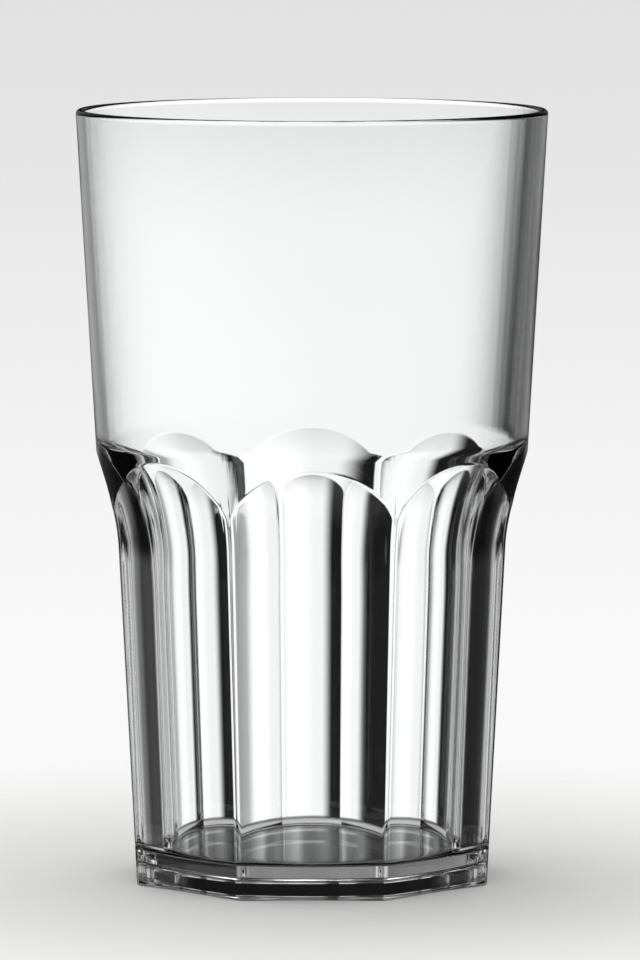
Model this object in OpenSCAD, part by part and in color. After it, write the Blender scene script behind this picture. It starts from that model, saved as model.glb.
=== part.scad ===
// Stacking tumbler, moulded in one piece of clear rigid plastic.
// The upper wall is a thin plain cone. The lower part is thicker and cut by slightly hollow flats with
// arched tops.
// Z is the axis, the foot stands on Z = 0 and the middle of one flat faces -Y.

/* [Body] */
// Height from the foot to the rim
height = 139; // [130:0.5:150]
// Outer diameter at the rim
rim_d = 85; // [82:0.5:92]
// Outer diameter of the plain wall level with the tops of the arches
waist_d = 77.9; // [76:0.1:80]
// Thickness of the plain wall at its lower end
wall = 2; // [1.4:0.1:2.4]
// Thickness of the plain wall at the rim
lip = 1.5; // [1.2:0.1:2]
// Rounding of both edges of the rim
lip_round = 0.7; // [0.2:0.05:0.7]

/* [Flats] */
// Number of flats round the lower part
flat_count = 8; // [7:1:10]
// How far inside the plain wall the flats' straight lines pass, level with the tops of the arches
flat_inset = 3.52; // [2.5:0.01:5]
// Depth of the hollow across each flat
flat_hollow = 0.4; // [0.2:0.05:0.6]
// Lean of each flat, in degrees from upright
flat_lean = 2.9; // [2:0.1:3.4]
// Height of the tops of the arches
arch_z = 77.5; // [65:0.5:90]
// Radius of the hollow curve that runs each flat out into the plain wall
arch_r = 36; // [26:1:46]
// Width of the soft land left along each ridge between two flats
ridge_w = 0.8; // [0.4:0.1:1.6]

/* [Inside] */
// Wall behind the middle of a flat, where its hollow curve begins
flat_wall = 2.6; // [1.8:0.1:3]
// Wall behind the middle of a flat, level with the floor
foot_wall = 2; // [1.6:0.1:4]
// Height of the upper edge of the stacking ledge above the tops of the arches
ledge_rise = 2; // [0:0.5:4]
// Height of the sloping stacking ledge
ledge_h = 15; // [12:0.5:18]
// Share of the ledge's slope taken up by the wide curve at its foot
ledge_sweep = 0.6; // [0.3:0.05:0.75]
// Rounding of the upper edge of the stacking ledge
ledge_round = 6; // [2:0.5:8]
// Rounding between the inner wall and the floor
floor_round = 1.5; // [0.5:0.5:3]

/* [Foot] */
// Thickness of the floor
floor_t = 2.2; // [1.8:0.1:4]
// Depth of the recess under the floor
recess_h = 3.6; // [2:0.1:6]
// Width of the standing ring behind the middle of a flat
ring_w = 4.1; // [3:0.1:8]
// Rounding of the corner between the ring and the recess ceiling
recess_round = 1; // [0.3:0.1:1.5]
// Rounding of the outer edge of the foot
foot_round = 0.5; // [0.3:0.1:1.5]
// Rounding of the inner edge of the foot
ring_round = 0.6; // [0.2:0.1:1]

/* [Hidden] */
$fn = 180;

// Length by which cutting shapes run past the surface that they open
over = 2;
// Half of the angle that one flat takes round the axis
half = 180 / flat_count;

// Outer radii of the plain wall
rim_r = rim_d / 2;
waist_r = waist_d / 2;
wall_slope = (rim_r - waist_r) / (height - arch_z);

// Distance across opposite flats at the foot, at their edges
foot_flats = waist_d - 2 * (flat_inset + arch_z * tan(flat_lean));

// Distance of the edges of a flat's straight run from the axis, at height z
function flat_at(z) = foot_flats / 2 + z * tan(flat_lean);

// Each flat is hollowed round an axis far outside the tumbler, which leans as the flat does
flat_half_w = foot_flats / 2 * tan(half);
hollow_r = (flat_half_w * flat_half_w + flat_hollow * flat_hollow) / (2 * flat_hollow);

// Outer radius of the plain wall at height z. Below the tops of the arches it leans as the flats do.
function wall_at(z) = waist_r + (z - arch_z) * (z > arch_z ? wall_slope : tan(flat_lean));

// The hollow curve touches the line up the middle of a flat and passes through the top of the arch.
// arch_gap is the distance of that top from the line, arch_run its distance along the line.
arch_gap = (waist_r - flat_at(arch_z) + flat_hollow) * cos(flat_lean);
arch_run = sqrt(2 * arch_r * arch_gap - arch_gap * arch_gap);
bend_z = arch_z - arch_run * cos(flat_lean) + arch_gap * sin(flat_lean);

// Radius of the ridge lands where the edges of the flats beside them lie a from the axis
function ridge_at(a) = a / cos(half) - ridge_w / 2 * tan(half + asin(flat_half_w / hollow_r));
ridge_foot_r = ridge_at(flat_at(0));
ridge_bend_r = ridge_at(flat_at(bend_z));
ridge_lean = atan((ridge_bend_r - ridge_foot_r) / bend_z);

// The inside: floor, lower wall and ledge
floor_z = recess_h + floor_t;
floor_r = flat_at(floor_z) - flat_hollow - foot_wall;
bend_r = flat_at(bend_z) - flat_hollow - flat_wall;
ledge_top_z = arch_z + ledge_rise;
ledge_low_z = ledge_top_z - ledge_h;
ledge_low_r = floor_r + (bend_r - floor_r) * (ledge_low_z - floor_z) / (bend_z - floor_z);
ledge_top_r = wall_at(ledge_top_z) - wall;

// The recess under the floor
recess_r = foot_flats / 2 - flat_hollow - ring_w;

// Unit vector from p to q
function toward(p, q) = (q - p) / norm(q - p);

// The sliver between a corner p of an outline, with neighbours a and b, and its rounding of radius r.
// Cut from an outside corner or added to an inside corner, it rounds that corner.
module rounding(p, a, b, r) {
    u = toward(p, a);
    v = toward(p, b);
    corner_half = acos(u * v) / 2;
    centre = p + toward([0, 0], u + v) * r / sin(corner_half);
    run = r / tan(corner_half);
    difference() {
        polygon([p + u * run, p + (p - centre) / 2, p + v * run, centre]);
        translate(centre) circle(r);
    }
}

// The space outside a line that starts at radius r0 and leans outwards, then bends away at height bend_h
// along a hollow curve. X is the distance from the axis and Y the height along it.
module relief(r0, lean, bend_h, curve_r) {
    start = [r0 - over * tan(lean), -over];
    bend = [r0 + bend_h * tan(lean), bend_h];
    centre = bend + curve_r * [cos(lean), -sin(lean)];
    polygon([start, bend, centre, [centre.x, -over]]);
    translate(centre) circle(curve_r);
}

// Half section of the hollow inside, from the floor up through the rim
module hollow() {
    low = [floor_r, floor_z];
    ledge_low = [ledge_low_r, ledge_low_z];
    ledge_top = [ledge_top_r, ledge_top_z];
    brim = [rim_r - lip, height];
    past = brim + toward(ledge_top, brim) * over;
    slope = toward(ledge_low, ledge_top);
    sweep_r = ledge_sweep * norm(ledge_top - ledge_low) / tan(acos(toward(low, ledge_low) * slope) / 2);
    difference() {
        polygon([[0, floor_z], low, ledge_low, ledge_top, past, [0, past.y]]);
        rounding(low, [0, floor_z], ledge_low, floor_round);
        rounding(ledge_top, ledge_low, brim, ledge_round);
    }
    rounding(ledge_low, low, ledge_top, sweep_r);
}

// Half section of the recess under the floor
module recess() {
    edge = [recess_r, 0];
    top = [recess_r, recess_h];
    difference() {
        polygon([[0, -over], [recess_r, -over], top, [0, recess_h]]);
        rounding(top, edge, [0, recess_h], recess_round);
    }
    rounding(edge, top, edge + [ring_w, 0], ring_round);
}

// Half section of the whole tumbler before its flats are cut
module section() {
    brim_out = [rim_r, height];
    brim_in = [rim_r - lip, height];
    difference() {
        polygon([[0, 0], [wall_at(0), 0], [waist_r, arch_z], brim_out, [0, height]]);
        relief(ridge_foot_r, ridge_lean, bend_z, arch_r * cos(half));
        hollow();
        recess();
        rounding(brim_out, [waist_r, arch_z], brim_in, lip_round);
        rounding(brim_in, [ledge_top_r, ledge_top_z], brim_out, lip_round);
    }
}

// One flat with its hollow, its arched top and the rounding below it, as the wedge that is cut away
// along -Y. The section is drawn in the plane that holds the leaning axis. The rounding's corner lies a
// touch below the foot, so that the curve crosses the foot plane cleanly.
module flat_cut() {
    sweep = 2 * asin((waist_r * tan(half) + over) / hollow_r);
    foot = [-hollow_r, -foot_round / 20];
    inwards = [-cos(flat_lean), -sin(flat_lean)];
    translate([0, flat_hollow - foot_flats / 2, 0])
        rotate([flat_lean, 0, 0])
            translate([0, -hollow_r, 0])
                rotate([0, 0, -90 - sweep / 2])
                    rotate_extrude(angle = sweep, $fn = 720) {
                        relief(-hollow_r, 0, bend_z / cos(flat_lean), arch_r);
                        rounding(foot, foot + [0, bend_z], foot + inwards, foot_round);
                    }
}

module tumbler() {
    color([0.9, 0.92, 0.93, 0.5])
        difference() {
            rotate_extrude() section();
            for (i = [0 : flat_count - 1])
                rotate([0, 0, i * 2 * half]) flat_cut();
        }
}

tumbler();
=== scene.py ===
# %% [markdown]
# # A clear stacking tumbler
#
# The real tumbler is moulded in one shot from clear rigid plastic. Its upper wall is a thin plain cone, and
# its thick lower part has eight slightly hollow flats with arched tops. All that the eye gets from it is
# refraction, so this lesson spends its effort on smooth, exact surfaces, on a believable clear plastic, and
# on a studio round it that has something pale and something dark to refract.

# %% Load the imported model
import math
import bpy
import numpy as np
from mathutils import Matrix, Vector


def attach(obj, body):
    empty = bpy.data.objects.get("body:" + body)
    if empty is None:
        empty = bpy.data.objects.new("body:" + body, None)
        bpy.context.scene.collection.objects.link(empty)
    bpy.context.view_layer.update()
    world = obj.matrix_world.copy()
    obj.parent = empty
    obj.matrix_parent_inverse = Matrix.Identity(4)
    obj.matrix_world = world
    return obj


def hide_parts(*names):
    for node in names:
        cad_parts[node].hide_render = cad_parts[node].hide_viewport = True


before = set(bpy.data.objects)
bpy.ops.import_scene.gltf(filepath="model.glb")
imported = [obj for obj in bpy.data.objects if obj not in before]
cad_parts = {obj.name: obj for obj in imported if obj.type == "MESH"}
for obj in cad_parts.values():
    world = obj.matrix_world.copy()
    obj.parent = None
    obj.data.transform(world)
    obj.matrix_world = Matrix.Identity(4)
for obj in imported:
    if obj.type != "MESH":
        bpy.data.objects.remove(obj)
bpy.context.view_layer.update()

# %% [markdown]
# ## Sizes
#
# The part's source has the same sizes, in millimetres. They are repeated here, because the finer surface
# that Blender shows has to lie where the solid lies. Blender works in metres, so every size is turned into
# metres once, where the mesh is made.

# %% Sizes of the tumbler
MM = 0.001
HEIGHT = 139.0
RIM_R = 42.5
WAIST_R = 38.95          # plain wall, level with the tops of the arches
WALL = 2.0
LIP = 1.5
LIP_ROUND = 0.7
FLATS = 8
LEAN = math.radians(2.9)
ARCH_Z = 77.5
FLAT_INSET = 3.52        # at ARCH_Z, from the plain wall in to the straight lines of the flats
FOOT_FLAT = WAIST_R - FLAT_INSET - ARCH_Z * math.tan(LEAN)
ARCH_R = 36.0
LAND_W = 0.8             # soft land along each ridge
HOLLOW = 0.4             # by how much the middle of each flat is sunk
FLAT_WALL = 2.6
FOOT_WALL = 2.0
LEDGE_RISE = 2.0
LEDGE_H = 15.0
LEDGE_SWEEP = 0.6        # share of the ledge's slope that the curve below it takes
LEDGE_ROUND = 6.0
FLOOR_ROUND = 1.5
FLOOR_T = 2.2
RECESS_H = 3.6
RING_W = 4.1
RECESS_ROUND = 1.0
FOOT_ROUND = 0.5
RING_ROUND = 0.6
HALF = math.pi / FLATS   # half of the angle that one flat takes
print(f"The tumbler is {HEIGHT:.0f} mm tall and {2 * FOOT_FLAT:.1f} mm across opposite flats at the foot")

# %% [markdown]
# ## The outer form as a radius
#
# Seen from the axis, every direction meets the outside of the tumbler exactly once. So the whole outside is
# a radius that depends on the angle round the axis and on the height, and no modelling tool is needed to cut
# the flats: at each point the nearest of four surfaces wins. These are the plain wall, the flat on this side
# of the ridge, the flat beyond it, and the narrow land along the ridge.
#
# A flat isn't quite flat. Its middle is sunk by less than half a millimetre, which is enough to make each
# flat a weak lens, and its top bends away along a hollow curve until it meets the plain wall in an arch.

# %% The lines and hollow curves in the outer form
def flat_line(z):
    """Distance of the edges of a flat's straight run from the axis at height z."""
    return FOOT_FLAT + z * math.tan(LEAN)


def plain_wall(z):
    """Outer radius of the plain wall. Below the arches it leans as the flats do."""
    above = (RIM_R - WAIST_R) / (HEIGHT - ARCH_Z)
    return WAIST_R + (z - ARCH_Z) * np.where(z > ARCH_Z, above, math.tan(LEAN))


arch_gap = (WAIST_R - flat_line(ARCH_Z) + HOLLOW) * math.cos(LEAN)
arch_run = math.sqrt(2 * ARCH_R * arch_gap - arch_gap ** 2)
BEND_Z = ARCH_Z - arch_run * math.cos(LEAN) + arch_gap * math.sin(LEAN)

FLAT_HALF_W = FOOT_FLAT * math.tan(HALF)
HOLLOW_R = (FLAT_HALF_W ** 2 + HOLLOW ** 2) / (2 * HOLLOW)


def land_at(flat):
    """Radius of the ridge lands where the edges of the flats beside them lie that far from the axis."""
    return flat / math.cos(HALF) - LAND_W / 2 * math.tan(HALF + math.asin(FLAT_HALF_W / HOLLOW_R))


LAND_FOOT = land_at(flat_line(0))
LAND_LEAN = math.atan((land_at(flat_line(BEND_Z)) - LAND_FOOT) / BEND_Z)


def land_line(z):
    """Radius of the ridge lands: a leaning line that bends away along a hollow curve above BEND_Z."""
    curve_r = ARCH_R * math.cos(HALF)
    centre_r = LAND_FOOT + BEND_Z * math.tan(LAND_LEAN) + curve_r * math.cos(LAND_LEAN)
    centre_z = BEND_Z - curve_r * math.sin(LAND_LEAN)
    up = np.clip(z - centre_z, 0, curve_r)
    curve = centre_r - np.sqrt(curve_r ** 2 - up ** 2)
    return np.where(z < BEND_Z, LAND_FOOT + z * math.tan(LAND_LEAN), curve)


print(f"The flats bend away at {BEND_Z:.1f} mm and reach the plain wall at {ARCH_Z} mm")

# %% [markdown]
# ## Soft edges
#
# A mould has no knife edges. A bevel would be the usual tool, but it needs an edge in the mesh to work on,
# and a radius has none. Instead, where two of the surfaces meet, the smaller radius is taken, and within a
# small difference of each other the two are blended. The blend is as wide as the bright bands that run round
# each arch and down each ridge, about 0.75 mm.

# %% Blend the four surfaces
EDGE_BAND = 0.75         # width of the rounding along an edge
EDGE_SOFT = EDGE_BAND / 2 * math.tan(HALF)
CORRECTIONS = 8          # passes in which flat_radius closes in on its answer
CURVE_SHARE = 0.95       # of the hollow curve's radius, up to which the curve is followed


def soft_min(a, b):
    """The smaller of a and b, rounded over where they differ by less than EDGE_SOFT."""
    near = np.clip(1 - np.abs(a - b) / EDGE_SOFT, 0, None)
    return np.minimum(a, b) - near ** 2 * EDGE_SOFT / 4


def turned(z):
    """Outer radius before the flats are cut: plain wall above, ridge lands below."""
    return soft_min(plain_wall(z), land_line(z))


def off_middle(angle):
    """Angle from the middle of the nearest flat."""
    return np.abs((angle + HALF) % (2 * HALF) - HALF)


def flat_radius(angle, z):
    """Radius of one flat, at an angle off its middle.

    The flat is a barrel round a leaning axis outside the tumbler. The height along that axis depends on the
    radius looked for, so the radius starts as a guess and is corrected a few times.
    """
    middle = FOOT_FLAT - HOLLOW
    radius = flat_line(z) / np.cos(angle)
    for _ in range(CORRECTIONS):
        along = (radius * np.cos(angle) - middle) * math.sin(LEAN) + z * math.cos(LEAN)
        up = np.clip(along - BEND_Z / math.cos(LEAN), 0, CURVE_SHARE * ARCH_R)
        barrel = HOLLOW_R - ARCH_R + np.sqrt(ARCH_R ** 2 - up ** 2)
        out = HOLLOW_R - np.sqrt(barrel ** 2 - (radius * np.sin(angle)) ** 2)
        radius = ((out + z * math.sin(LEAN)) / math.cos(LEAN) + middle) / np.cos(angle)
    return radius


def outer_radius(angle, z):
    """Outer radius at that angle round the axis and that height."""
    off = off_middle(angle)
    return soft_min(soft_min(flat_radius(off, z), turned(z)), flat_radius(2 * HALF - off, z))


print("Radius at a ridge and in the middle of a flat, at 30 mm:",
      outer_radius(HALF, np.array(30.0)).round(2), outer_radius(0.0, np.array(30.0)).round(2))

# %% [markdown]
# ## Where the vertices go
#
# A clear surface shows every facet, so vertices have to be close together where the surface turns quickly,
# and may be far apart elsewhere. One helper does both jobs: it takes a density along a line and puts as many
# vertices in each stretch as the density asks for. Round the axis the density is high beside the ridges. Up
# the wall it is high where a flat meets the wall, so the rows of vertices bend and follow the arches.

# %% Spread points by density
def spread(line, density, count):
    """count places along line, closer together where density is high."""
    share = np.concatenate([[0], np.cumsum((density[1:] + density[:-1]) / 2 * np.diff(line))])
    return np.interp(np.linspace(0, share[-1], count), share, line)


HALF_COLUMNS = 24        # columns of vertices from the middle of a flat to the ridge
RIDGE_CROWD = 14         # density added beside a ridge, where 1 is the density elsewhere
COLUMN_PROBES = 2000     # places where that density is worked out
edge_angle = math.atan(math.tan(HALF) - LAND_W / 2 / math.cos(HALF) / flat_line(BEND_Z / 2))
edge_width = EDGE_BAND / flat_line(BEND_Z / 2)
line = np.linspace(0, HALF, COLUMN_PROBES)
crowd = 1 + RIDGE_CROWD * np.exp(-((line - edge_angle) / edge_width) ** 2)
half_flat = spread(line, crowd, HALF_COLUMNS + 1)
one_flat = np.concatenate([-half_flat[:0:-1], half_flat[:-1]])
COLUMNS = np.concatenate([one_flat + 2 * HALF * i for i in range(FLATS)])
print(len(COLUMNS), "columns of vertices round the axis")

# %% The rows that follow the arches
SHOULDER_LOW, SHOULDER_HIGH = 54.0, 84.0
SHOULDER_ROWS = 66
SHOULDER_PROBES = 1500
ARCH_CROWD = 9           # density added along the arches
ARCH_BAND = 1.6 * EDGE_SOFT                          # gap between wall and flat at which it has faded


def shoulder_rows():
    """Heights of the rows between SHOULDER_LOW and SHOULDER_HIGH, one list for each column."""
    z = np.linspace(SHOULDER_LOW, SHOULDER_HIGH, SHOULDER_PROBES)
    heights = []
    for angle in COLUMNS:
        gap = flat_radius(off_middle(angle), z) - turned(z)
        heights.append(spread(z, 1 + ARCH_CROWD * np.exp(-(gap / ARCH_BAND) ** 2), SHOULDER_ROWS))
    return np.array(heights).T


shoulder = shoulder_rows()
print("The row through the arches runs from", shoulder[SHOULDER_ROWS // 2].min().round(1),
      "to", shoulder[SHOULDER_ROWS // 2].max().round(1), "mm")

# %% [markdown]
# ## The turned parts
#
# The inside, the rim and the underside are turned shapes, so each is a half section that spins round the
# axis. The section is a chain of corners, and a helper rounds each of them with an arc. It also sets a
# vertex close to both ends of each arc, which keeps the shading of the straight runs flat right up to the
# arc.

# %% Round the corners of a half section
GUARD = 0.25             # distance of the extra vertices from the ends of an arc
ARC_STEPS = 8


def toward(p, q):
    """Unit vector from p to q."""
    return (q - p) / np.linalg.norm(q - p)


def rounded(corners):
    """Points along a chain of (radius, height, rounding), with each rounding drawn as an arc."""
    points = [np.array(corners[0][:2])]
    for before, (r, z, rounding), after in zip(corners, corners[1:], corners[2:]):
        corner = np.array([r, z])
        back, on = toward(corner, np.array(before[:2])), toward(corner, np.array(after[:2]))
        half = math.acos(float(np.clip(back @ on, -1, 1))) / 2
        centre = corner + toward(np.zeros(2), back + on) * rounding / math.sin(half)
        run = rounding / math.tan(half)
        first, last = corner + back * run, corner + on * run
        start, end = first - centre, last - centre
        turn = math.pi - 2 * half
        points.append(first + back * GUARD)
        for t in np.arange(ARC_STEPS + 1) / ARC_STEPS:
            arm = (math.sin((1 - t) * turn) * start + math.sin(t * turn) * end) / math.sin(turn)
            points.append(centre + arm)
        points.append(last + on * GUARD)
    points.append(np.array(corners[-1][:2]))
    return points


print("Each rounding is drawn in", ARC_STEPS, "steps")

# %% The rim, the inside and the underside
floor_z = RECESS_H + FLOOR_T
floor_r = flat_line(floor_z) - HOLLOW - FOOT_WALL
bend_r = flat_line(BEND_Z) - HOLLOW - FLAT_WALL
ledge_top = ARCH_Z + LEDGE_RISE
ledge_low = ledge_top - LEDGE_H
ledge_low_r = floor_r + (bend_r - floor_r) * (ledge_low - floor_z) / (BEND_Z - floor_z)
ledge_top_r = float(plain_wall(ledge_top)) - WALL
recess_r = FOOT_FLAT - HOLLOW - RING_W
slope = toward(np.array([ledge_low_r, ledge_low]), np.array([ledge_top_r, ledge_top]))
wall_up = toward(np.array([floor_r, floor_z]), np.array([ledge_low_r, ledge_low]))
ledge_turn = math.acos(slope @ wall_up)
ledge_curve = LEDGE_SWEEP * math.hypot(ledge_top_r - ledge_low_r, LEDGE_H) / math.tan(ledge_turn / 2)
print(f"The curve below the ledge has a radius of {ledge_curve:.1f} mm")

rim_and_inside = rounded([
    (float(plain_wall(SHOULDER_HIGH)), SHOULDER_HIGH, 0),
    (RIM_R, HEIGHT, LIP_ROUND),
    (RIM_R - LIP, HEIGHT, LIP_ROUND),
    (ledge_top_r, ledge_top, LEDGE_ROUND),
    (ledge_low_r, ledge_low, ledge_curve),
    (floor_r, floor_z, FLOOR_ROUND),
    (0, floor_z, 0),
])
underside = rounded([
    (0, RECESS_H, 0),
    (recess_r, RECESS_H, RECESS_ROUND),
    (recess_r, 0, RING_ROUND),
    (recess_r + RING_W / 2, 0, 0),
])
print(len(rim_and_inside), "points over the rim and inside,", len(underside), "under the foot")

# %% [markdown]
# ## The skin
#
# All rows are stacked into one closed skin that starts in the middle of the underside and ends in the middle
# of the floor inside. The foot's outer edge is eight-sided and rounded, so its rows are the outline of the
# foot, drawn in by as much as a rounding of that height asks for.

# %% Stack the rows
def ring(radius, z):
    """A row of vertices at those radii and heights, one for each column."""
    return np.stack([radius * np.sin(COLUMNS), -radius * np.cos(COLUMNS), z + 0 * COLUMNS], axis=1)


def drawn_in(row, inset, z):
    """The outline in row, moved inwards across itself by inset and set at height z."""
    along = np.roll(row, -1, axis=0) - np.roll(row, 1, axis=0)
    outwards = np.stack([along[:, 1], -along[:, 0]], axis=1)
    outwards /= np.linalg.norm(outwards, axis=1)[:, None]
    return np.column_stack([row[:, :2] - outwards * inset, z + 0 * COLUMNS])


FOOT_STEPS = 8
LOWER_ROWS = 14
rows = [ring(r, z) for r, z in underside[1:]]
outline_z = FOOT_ROUND * (1 - math.sin(LEAN))
outline = ring(outer_radius(COLUMNS, outline_z), outline_z)
for angle in np.linspace(math.pi / 2, LEAN, FOOT_STEPS + 1)[:-1]:
    inset = FOOT_ROUND * (math.cos(LEAN) - math.cos(angle))
    rows.append(drawn_in(outline, inset, FOOT_ROUND * (1 - math.sin(angle))))
for z in [outline_z, outline_z + GUARD, *np.linspace(outline_z, SHOULDER_LOW, LOWER_ROWS)[1:-1]]:
    rows.append(ring(outer_radius(COLUMNS, z), z))
for heights in shoulder:
    rows.append(ring(outer_radius(COLUMNS, heights), heights))
rows += [ring(r, z) for r, z in rim_and_inside[1:-1]]
print(len(rows), "rows of vertices")


# %% Join the rows into one mesh
def skin(name, rows, first_tip, last_tip):
    """One closed mesh through the rows, with a fan of triangles to the tip at each end."""
    wide = len(COLUMNS)
    last = len(rows) - 1
    verts = [first_tip, *np.concatenate(rows), last_tip]

    def at(row, column):
        return 1 + row * wide + column % wide

    faces = [(0, at(0, c + 1), at(0, c)) for c in range(wide)]
    for row in range(last):
        for c in range(wide):
            faces.append((at(row, c), at(row, c + 1), at(row + 1, c + 1), at(row + 1, c)))
    faces += [(at(last, c), at(last, c + 1), len(verts) - 1) for c in range(wide)]
    mesh = bpy.data.meshes.new(name)
    mesh.from_pydata([Vector(v) * MM for v in verts], [], faces)
    mesh.validate()
    mesh.shade_smooth()
    piece = bpy.data.objects.new(name, mesh)
    bpy.context.collection.objects.link(piece)
    return piece


tumbler = skin("clear_tumbler", rows, (0, 0, RECESS_H), (0, 0, floor_z))
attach(tumbler, "root")
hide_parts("tumbler")
print(tumbler.name, "has", len(tumbler.data.polygons), "faces")

# %% [markdown]
# ## The plastic
#
# Such tumblers are moulded in polycarbonate, a water-clear plastic that bends light a little more than
# window glass does. Out of a polished mould it comes glossy, with a faint waviness from the way it shrinks
# as it cools. Cloths and dishwashers leave soft patches that are a little less glossy. Neither is seen as
# such, but they keep the bright and dark bands from looking ruled.
#
# A Glass shader would do for the light alone. The Principled shader is used instead, with its transmission
# all the way up, because it holds the whole finish in one node and carries over to other programs.

# %% Helpers for colours and nodes
SOFT_STEP = {"interpolation_type": "SMOOTHSTEP"}     # for a Map Range node that eases in and out


def srgb(code):
    """Linear RGBA from an sRGB hex code."""
    values = [int(code[i:i + 2], 16) / 255 for i in (1, 3, 5)]
    return tuple(v / 12.92 if v <= 0.04045 else ((v + 0.055) / 1.055) ** 2.4 for v in values) + (1.0,)


def bare_tree(holder):
    """The node tree of a material or world, emptied of the nodes that it starts with."""
    holder.use_nodes = True
    holder.node_tree.nodes.clear()
    return holder.node_tree


def add_node(tree, kind, sockets=(), **settings):
    """A new node. settings are its properties.

    Each of its sockets takes a value, another node's output, or another node, for that one's first output.
    """
    made = tree.nodes.new(kind)
    for key, value in settings.items():
        setattr(made, key, value)
    for key, source in dict(sockets).items():
        if isinstance(source, bpy.types.Node):
            source = source.outputs[0]
        if isinstance(source, bpy.types.NodeSocket):
            tree.links.new(source, made.inputs[key])
        else:
            made.inputs[key].default_value = source
    return made


print("A middle grey, #808080, is", round(srgb("#808080")[0], 3), "in linear light")

# %% Polycarbonate
WAVE_LONG = 16.0         # mm, about the length of one wave
RUB_WIDE = 7.0           # mm, about the width of a rubbed patch
POLISHED, RUBBED = 0.006, 0.022                      # roughness


def polycarbonate():
    """Clear glossy moulded plastic, faintly wavy, with patches that are rubbed a little less glossy."""
    material = bpy.data.materials.new("polycarbonate_clear")
    tree = bare_tree(material)
    place = add_node(tree, "ShaderNodeTexCoord")
    waves = add_node(tree, "ShaderNodeTexNoise", {
        "Vector": place.outputs["Object"], "Scale": 1 / (WAVE_LONG * MM), "Detail": 0.0})
    bump = add_node(tree, "ShaderNodeBump", {"Height": waves, "Strength": 0.02, "Distance": 0.001})
    rubs = add_node(tree, "ShaderNodeTexNoise", {
        "Vector": place.outputs["Object"], "Scale": 1 / (RUB_WIDE * MM), "Detail": 1.0})
    gloss = add_node(tree, "ShaderNodeMapRange", {
        "Value": rubs, "From Min": 0.4, "From Max": 0.7, "To Min": POLISHED, "To Max": RUBBED})
    plastic = add_node(tree, "ShaderNodeBsdfPrincipled", {
        "Normal": bump, "Base Color": srgb("#feffff"), "Roughness": gloss, "IOR": 1.585,
        "Transmission Weight": 1.0})
    add_node(tree, "ShaderNodeOutputMaterial", {"Surface": plastic})
    return material


tumbler.data.materials.append(polycarbonate())
print("The tumbler is made of", tumbler.data.materials[0].name)

# %% [markdown]
# ## The floor
#
# Clear plastic shows only its surroundings, so a photographer puts pale backdrops and black cards round it.
# The pale ones fill the plastic with light and the black ones draw its edges and ridges as dark lines. Here
# the floor is a pale disc that fades out into a pale background. On a floor that is pale all over, the foot
# would hardly show, so light that comes through or off the plastic finds it dark where it meets it aslant.
#
# The nodes below go by the numbers of their sockets where names repeat: a Mix node blends values from 2 to 3
# and colours from 6 to 7, and a colour comes out of 2.

# %% The floor
FLOOR_R = 0.17
SEEN_FADE = {"From Min": 0.06, "From Max": 0.98 * FLOOR_R}      # metres from the axis, as the camera sees it
BENT_FADE = {"From Min": 0.045, "From Max": 0.075}              # and as it is seen through the plastic
ASLANT = {"From Min": 0.45, "From Max": 0.75}                   # from face on at 0 to edge on at 1


def floor_material():
    """Pale matt floor that fades out towards its rim."""
    material = bpy.data.materials.new("pale_floor")
    tree = bare_tree(material)
    place = add_node(tree, "ShaderNodeTexCoord")
    path = add_node(tree, "ShaderNodeLightPath")
    length = add_node(tree, "ShaderNodeVectorMath", {0: place.outputs["Object"]}, operation="LENGTH")
    away = length.outputs["Value"]
    seen = add_node(tree, "ShaderNodeMapRange", {"Value": away, **SEEN_FADE}, **SOFT_STEP)
    bent = add_node(tree, "ShaderNodeMapRange", {"Value": away, **BENT_FADE}, **SOFT_STEP)
    fade = add_node(tree, "ShaderNodeMix", {0: path.outputs["Is Transmission Ray"], 2: seen, 3: bent})
    slant = add_node(tree, "ShaderNodeLayerWeight", {"Blend": 0.5})
    edge_on = add_node(tree, "ShaderNodeMapRange", {"Value": slant.outputs["Facing"], **ASLANT}, **SOFT_STEP)
    plastic = add_node(tree, "ShaderNodeMath", {
        0: path.outputs["Is Transmission Ray"], 1: path.outputs["Is Glossy Ray"]}, operation="MAXIMUM")
    dark = add_node(tree, "ShaderNodeMath", {0: plastic, 1: edge_on}, operation="MULTIPLY")
    shade = add_node(tree, "ShaderNodeMix", {0: dark, 6: srgb("#e6e6e4"), 7: srgb("#3c3c3a")},
                     data_type="RGBA")
    matt = add_node(tree, "ShaderNodeBsdfDiffuse", {"Color": shade.outputs[2]})
    open_air = add_node(tree, "ShaderNodeBsdfTransparent")
    mix = add_node(tree, "ShaderNodeMixShader", {0: fade, 1: matt, 2: open_air})
    add_node(tree, "ShaderNodeOutputMaterial", {"Surface": mix})
    return material


bpy.ops.mesh.primitive_circle_add(vertices=96, radius=FLOOR_R, fill_type="NGON", location=(0, 0, 0))
floor = bpy.context.active_object
floor.name = "floor"
floor.data.materials.append(floor_material())
print("The floor is", 2 * FLOOR_R, "m across")

# %% [markdown]
# ## A black flag
#
# Photographers call a black card beside the picture a flag. This one stands behind the tumbler, just out of
# the picture on its right, with a soft edge. Because it stands close, the right side of the plain wall bends
# its view onto it sooner than the middle does, and so that side darkens first. A thin veil runs on from it
# across the upper part of the backdrop, which keeps the wall below the rim a little greyer. Only light that
# the plastic has bent and never mirrored meets the two. One rectangle is enough for both, because the nodes
# decide how much of it is there.

# %% The flag
FLAG_BACK = 0.41         # metres behind the axis
FLAG_LEFT, FLAG_RIGHT = -0.3, 0.45
FLAG_LOW, FLAG_HIGH = -0.2, 0.4
FLAG_EDGE = {"From Min": 0.05, "From Max": 0.118}                   # soft edge, metres right of the axis
VEIL = {"From Min": 0.08, "From Max": 0.15, "To Max": 0.3}          # metres up, and the share that it takes


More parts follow.
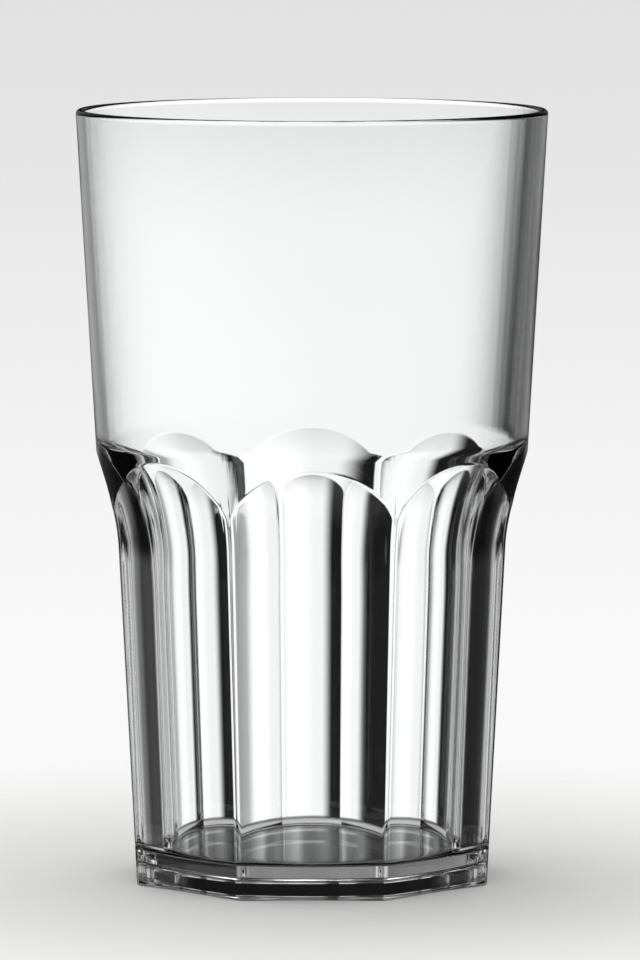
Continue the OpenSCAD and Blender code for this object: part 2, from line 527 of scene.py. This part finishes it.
def flag_material():
    """Black felt with a soft edge, met only by light that was bent but never mirrored."""
    material = bpy.data.materials.new("black_felt")
    tree = bare_tree(material)
    place = add_node(tree, "ShaderNodeTexCoord")
    way = add_node(tree, "ShaderNodeSeparateXYZ", {0: place.outputs["Object"]})
    edge = add_node(tree, "ShaderNodeMapRange", {"Value": way.outputs["X"], **FLAG_EDGE}, **SOFT_STEP)
    veil = add_node(tree, "ShaderNodeMapRange", {"Value": way.outputs["Z"], **VEIL}, **SOFT_STEP)
    dense = add_node(tree, "ShaderNodeMath", {0: edge, 1: veil}, operation="MAXIMUM")
    path = add_node(tree, "ShaderNodeLightPath")
    bent = add_node(tree, "ShaderNodeMath", {
        0: path.outputs["Is Transmission Ray"], 1: path.outputs["Glossy Depth"]},
        operation="SUBTRACT", use_clamp=True)
    there = add_node(tree, "ShaderNodeMath", {0: dense, 1: bent}, operation="MULTIPLY")
    felt = add_node(tree, "ShaderNodeBsdfDiffuse", {"Color": srgb("#101010")})
    open_air = add_node(tree, "ShaderNodeBsdfTransparent")
    mix = add_node(tree, "ShaderNodeMixShader", {0: there, 1: open_air, 2: felt})
    add_node(tree, "ShaderNodeOutputMaterial", {"Surface": mix})
    return material


flag_mesh = bpy.data.meshes.new("black_flag")
corners = [(FLAG_LEFT, FLAG_LOW), (FLAG_RIGHT, FLAG_LOW), (FLAG_RIGHT, FLAG_HIGH), (FLAG_LEFT, FLAG_HIGH)]
flag_mesh.from_pydata([(x, FLAG_BACK, z) for x, z in corners], [], [(0, 1, 2, 3)])
flag = bpy.data.objects.new("black_flag", flag_mesh)
flag.data.materials.append(flag_material())
bpy.context.collection.objects.link(flag)
print("The flag stands", FLAG_BACK, "m behind the axis")

# %% [markdown]
# ## The ring of backdrops and cards
#
# The surroundings are one ring of levels. Each entry of the list below holds a direction and three levels:
# for light that the plastic only bent, for light that it mirrored once or twice, and for light that was
# caught in the wall and came out after more mirrorings. In a real studio these three come from different
# parts of the room, because each leaves the tumbler at its own height and place. Straight behind stands the
# pale backdrop. To the left it dims, and to the right it ends in the dark behind the flag. Five narrower
# backdrops with dark gaps stand round the rest, so that the tumbler has bright and dark bands from every
# side.
#
# Cards could be modelled one by one, as the flag is. A ring is quicker to adjust, and light is followed
# through it in less time.

# %% The levels of the ring
PALE = (0.9, 0.05, 0.9)
DARK = (0.05, 0.05, 0.2)
STUDIO = [               # degrees to the right of straight behind, then three levels of brightness
    (-180, *PALE), (-171, *PALE), (-165, *DARK), (-158, *DARK),
    (-153, *PALE), (-126, *PALE), (-120, *DARK), (-113, *DARK),
    (-108, *PALE), (-83, *PALE), (-76, 0.02, 0.05, 0.2), (-62, 0.04, 0.06, 0.2),
    (-46, 0.25, 0.05, 0.9), (-40, 0.3, 0.14, 0.9), (-28, 0.4, 0.2, 0.9), (-21, 0.85, 0.4, 0.7),
    (-12, 0.95, 0.7, 0.5), (-6, 0.92, 0.25, 0.5), (0, 0.82, 0.2, 0.4), (8, 0.8, 0.3, 0.5),
    (12, 0.8, 0.3, 0.9), (18, 0.8, 0.12, 0.8), (25, 0.012, 0.02, 0.7), (60, 0.01, 0.01, 0.9),
    (70, 0.012, 0.02, 0.8), (76, 0.9, 0.05, 0.8), (99, *PALE), (105, *DARK),
    (117, *PALE), (144, *PALE), (150, *DARK), (162, *PALE)]


def ring_levels(tree, way):
    """A node whose Red, Green and Blue outputs are the three levels of the ring in the direction way."""
    turn = add_node(tree, "ShaderNodeMath", {0: way.outputs["X"], 1: way.outputs["Y"]}, operation="ARCTAN2")
    circle = add_node(tree, "ShaderNodeMapRange", {"Value": turn, "From Min": -math.pi, "From Max": math.pi})
    strip = add_node(tree, "ShaderNodeValToRGB", {"Fac": circle})
    stops = strip.color_ramp.elements
    while len(stops) < len(STUDIO):
        stops.new(0.5)   # anywhere, because all of them are placed next
    for stop, (degrees, refracted, mirrored, caught) in zip(stops, STUDIO):
        stop.position = (degrees + 180) / 360
        stop.color = (refracted, mirrored, caught, 1)
    return add_node(tree, "ShaderNodeSeparateColor", {0: strip.outputs["Color"]})


print("The studio ring has", len(STUDIO), "steps")

# %% [markdown]
# ## How the levels change with height
#
# The height of a direction is the Z of an arrow of length 1 that points there. The backdrop is brightest at
# its foot, which also makes up for what the walls mirror away. The ceiling and the ground are dark, and they
# close the bands off at both ends. The camera itself sees none of this, only a plain pale background. The
# Light Path node tells the two apart, and counts how often light was mirrored.

# %% Levels and heights
BACKDROP = {"From Min": -0.092, "From Max": 0.2, "To Min": 1.4, "To Max": 0.65}
CEILING = {"From Min": 0.12, "From Max": 0.4, "To Min": 1.0, "To Max": 0.15}
GROUND = {"From Min": -0.36, "From Max": -0.22, "To Min": 0.03, "To Max": 1.0}
CAMERA_SEES = {"From Min": -0.13, "From Max": -0.03, "To Min": 0.95, "To Max": 0.76}
OFTEN = {"From Min": 2.0, "From Max": 3.0}           # mirrorings from which light counts as caught
OFF_OUTSIDE = 0.3        # share kept of light that is mirrored off the outside and never enters
ON_MATT = 0.9            # level that lights matt surfaces


def plastic_sees(tree, way, path):
    """A node with the level of the light that reaches the camera by way of the plastic."""
    up = way.outputs["Z"]
    levels = ring_levels(tree, way)
    backdrop = add_node(tree, "ShaderNodeMapRange", {"Value": up, **BACKDROP})
    ceiling = add_node(tree, "ShaderNodeMapRange", {"Value": up, **CEILING}, **SOFT_STEP)
    ground = add_node(tree, "ShaderNodeMapRange", {"Value": up, **GROUND}, **SOFT_STEP)
    height = add_node(tree, "ShaderNodeMath", {0: backdrop, 1: ceiling}, operation="MULTIPLY")
    bent = add_node(tree, "ShaderNodeMath", {0: levels.outputs["Red"], 1: height}, operation="MULTIPLY")
    once = add_node(tree, "ShaderNodeMath", {0: levels.outputs["Green"], 1: ground}, operation="MULTIPLY")
    lid = add_node(tree, "ShaderNodeMath", {0: ceiling, 1: ground}, operation="MULTIPLY")
    guided = add_node(tree, "ShaderNodeMath", {0: levels.outputs["Blue"], 1: lid}, operation="MULTIPLY")
    times = path.outputs["Glossy Depth"]
    often = add_node(tree, "ShaderNodeMapRange", {"Value": times, **OFTEN})
    mirrored = add_node(tree, "ShaderNodeMix", {0: often, 2: once, 3: guided})
    ever = add_node(tree, "ShaderNodeMath", {0: times, 1: 1.0}, operation="MINIMUM")
    level = add_node(tree, "ShaderNodeMix", {0: ever, 2: bent, 3: mirrored})
    entered = add_node(tree, "ShaderNodeMath", {0: path.outputs["Transmission Depth"], 1: 1.0},
                       operation="MINIMUM")
    share = add_node(tree, "ShaderNodeMapRange", {"Value": entered, "To Min": OFF_OUTSIDE})
    return add_node(tree, "ShaderNodeMath", {0: level, 1: share}, operation="MULTIPLY")


print(f"The backdrop has level {BACKDROP['To Min']} at its foot and {BACKDROP['To Max']} at its top")


# %% The surroundings
def surroundings():
    """Pale for the camera. The plastic refracts and mirrors a ring of pale backdrops and dark cards."""
    world = bpy.data.worlds.new("studio")
    bpy.context.scene.world = world
    tree = bare_tree(world)
    place = add_node(tree, "ShaderNodeTexCoord")
    way = add_node(tree, "ShaderNodeSeparateXYZ", {0: place.outputs["Generated"]})
    path = add_node(tree, "ShaderNodeLightPath")
    plain = add_node(tree, "ShaderNodeMapRange", {"Value": way.outputs["Z"], **CAMERA_SEES}, **SOFT_STEP)
    seen = add_node(tree, "ShaderNodeMix", {
        0: path.outputs["Is Camera Ray"], 2: plastic_sees(tree, way, path), 3: plain})
    level = add_node(tree, "ShaderNodeMix", {0: path.outputs["Is Diffuse Ray"], 2: seen, 3: ON_MATT})
    light = add_node(tree, "ShaderNodeBackground", {"Color": srgb("#ffffff"), "Strength": level})
    add_node(tree, "ShaderNodeOutputWorld", {"Surface": light})


surroundings()
bpy.context.scene.view_settings.view_transform = "Standard"
print("The world is", bpy.context.scene.world.name)

# %% [markdown]
# ## Light caught in the wall
#
# A clear wall is a light guide. Light that enters it steeply is mirrored to and fro between its two faces
# and comes out far from where it went in, which gives the thin bright streaks beside the silhouette. Blender
# gives up on light after a few mirrorings and leaves black there, so it is told to follow it for longer.

# %% Follow light for longer
MIRRORINGS = 12
cycles = bpy.context.scene.cycles
cycles.max_bounces = MIRRORINGS
cycles.glossy_bounces = MIRRORINGS
cycles.transmission_bounces = MIRRORINGS
print("Light is followed through", MIRRORINGS, "meetings with the plastic")

# %% [markdown]
# ## The softbox
#
# The ring gives nearly all of the light. One large soft lamp above and a little behind gives the floor an
# even tone and the foot a soft shadow. A smaller lamp would leave hard bright spots in the plastic.

# %% The softbox
def softbox(name, place, aim, width, height, power):
    """A soft rectangular lamp at place, turned to face aim."""
    light = bpy.data.lights.new(name, "AREA")
    light.shape = "RECTANGLE"
    light.size, light.size_y = width, height
    light.energy = power
    lamp = bpy.data.objects.new(name, light)
    lamp.location = place
    lamp.rotation_euler = (Vector(aim) - Vector(place)).to_track_quat("-Z", "Y").to_euler()
    bpy.context.collection.objects.link(lamp)
    return lamp


lamp = softbox("top_softbox", place=(-0.2, 0.3, 1.3), aim=(0, 0, 0.07), width=0.9, height=0.7, power=4)
print(lamp.name, "gives", lamp.data.energy, "W")

# %% [markdown]
# ## The camera
#
# A long lens, a little above the rim and tilted down, as a product photographer sets it up. Its focal length
# is known in pixels of the frame. Blender wants it in millimetres on the sensor, whose width goes with the
# longer side of the frame.

# %% The camera
CAMERA_AWAY = 1.361      # metres from the axis
CAMERA_HIGH = 0.2082
CAMERA_SIDE = 0.00144
CAMERA_TILT = math.radians(5.716)
LENS_PIXELS = 7571       # focal length, in pixels of a frame 960 pixels tall
FRAME_TALL = 960
SENSOR = 36              # mm
camera_data = bpy.data.cameras.new("camera")
camera_data.sensor_width = SENSOR
camera_data.lens = LENS_PIXELS / FRAME_TALL * SENSOR
camera = bpy.data.objects.new("camera", camera_data)
camera.location = (CAMERA_SIDE, -CAMERA_AWAY, CAMERA_HIGH)
camera.rotation_euler = (math.pi / 2 - CAMERA_TILT, 0, 0)
bpy.context.collection.objects.link(camera)
bpy.context.scene.camera = camera
print("Lens:", round(camera_data.lens), "mm")
